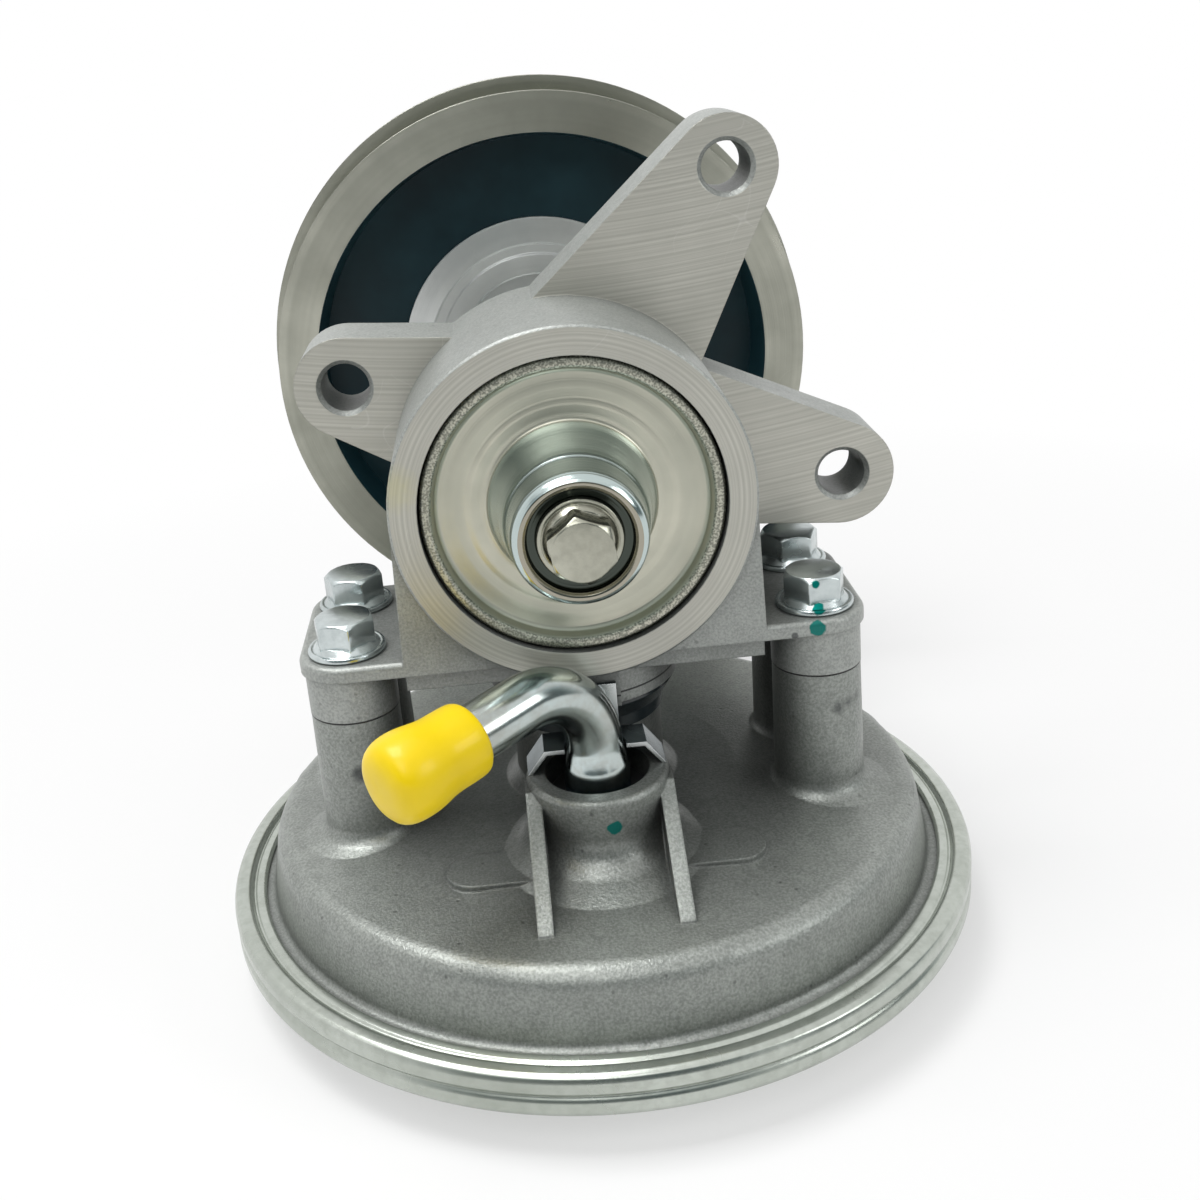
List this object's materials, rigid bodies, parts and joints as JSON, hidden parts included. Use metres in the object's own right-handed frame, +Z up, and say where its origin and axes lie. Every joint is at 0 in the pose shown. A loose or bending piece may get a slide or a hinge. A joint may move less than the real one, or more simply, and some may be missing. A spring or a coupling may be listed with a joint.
{
  "type": "engine vacuum pump",
  "caption": "Belt-driven diaphragm vacuum pump: domed aluminium chamber on posts under an eccentric drive housing with bolting ears, a belt pulley behind and a capped swivelling inlet elbow",
  "frame": {"origin": "middle of the flat bottom face of the sheet-steel pan", "axes": "+Z up from the pan to the shaft, +Y along the shaft from the front disc to the belt pulley, +X to the right seen from the front"},
  "size_m": [0.176, 0.227, 0.1918],
  "materials": {
    "housing_casting": "as-cast barrel with machined faces",
    "dome_casting": "shot-blasted casting",
    "plated_sheet": "zinc plated pressed sheet",
    "zinc_bolts": "bright zinc plating",
    "spring_steel": "zinc plated spring sheet",
    "bearing_steel": "ground",
    "shaft_steel": "turned",
    "pulley_steel": "turned faces, painted recess",
    "bronze": "bronze bearing bushing",
    "rubber": "moulded black rubber",
    "yellow_vinyl": "glossy dipped vinyl"
  },
  "bodies": {
    "pump_body": {"drive_housing": "housing_casting", "dome_cover": "dome_casting", "bottom_pan": "plated_sheet", "crimp_ring": "plated_sheet", "diaphragm": "rubber", "housing_bolts": "zinc_bolts", "front_bearing_outer_ring": "bearing_steel", "front_bearing_balls": "bearing_steel", "rear_bearing_outer_ring": "bearing_steel", "rear_bearing_balls": "bearing_steel", "shaft_seal": "rubber", "snap_ring": "spring_steel", "port_seal": "rubber", "elbow_retainer": "spring_steel", "retainer_screw": "zinc_bolts", "rod_boot": "rubber", "inlet_valve": "rubber", "outlet_valve": "rubber"},
    "rotor": {"drive_shaft": "shaft_steel", "eccentric": "shaft_steel", "front_bearing_inner_ring": "bearing_steel", "rear_bearing_inner_ring": "bearing_steel", "pulley_spacer": "shaft_steel", "front_disc": "zinc_bolts", "front_disc_bolt": "zinc_bolts", "pulley_hub": "pulley_steel", "pulley_rim": "pulley_steel"},
    "rod": {"connecting_rod": "shaft_steel", "rod_bushing": "bronze", "upper_diaphragm_plate": "plated_sheet", "lower_diaphragm_plate": "plated_sheet", "diaphragm_nut": "zinc_bolts"},
    "elbow": {"inlet_elbow": "zinc_bolts"},
    "cap": {"elbow_cap": "yellow_vinyl"}
  },
  "joints": [
    {"name": "shaft_spin", "type": "hinge", "parent": "pump_body", "child": "rotor", "pos_m": [0, 0, 0.1108], "axis": [0, 1, 0], "continuous": true},
    {"name": "rod_orbit", "type": "hinge", "parent": "rotor", "child": "rod", "pos_m": [0, 0, 0.1083], "axis": [0, 1, 0], "continuous": true, "deforming": ["diaphragm"]},
    {"name": "elbow_swivel", "type": "hinge", "parent": "pump_body", "child": "elbow", "pos_m": [0, -0.0315, 0.055], "axis": [0, 0, 1], "range_deg": [-15, 115]},
    {"name": "cap_pull", "type": "slide", "parent": "elbow", "child": "cap", "axis": [-0.7674, -0.6326, -0.1045], "range_m": [0, 0.03]}
  ],
  "couplings": [
    {"joint": "rod_orbit", "follows": "shaft_spin", "ratio": -1}
  ]
}
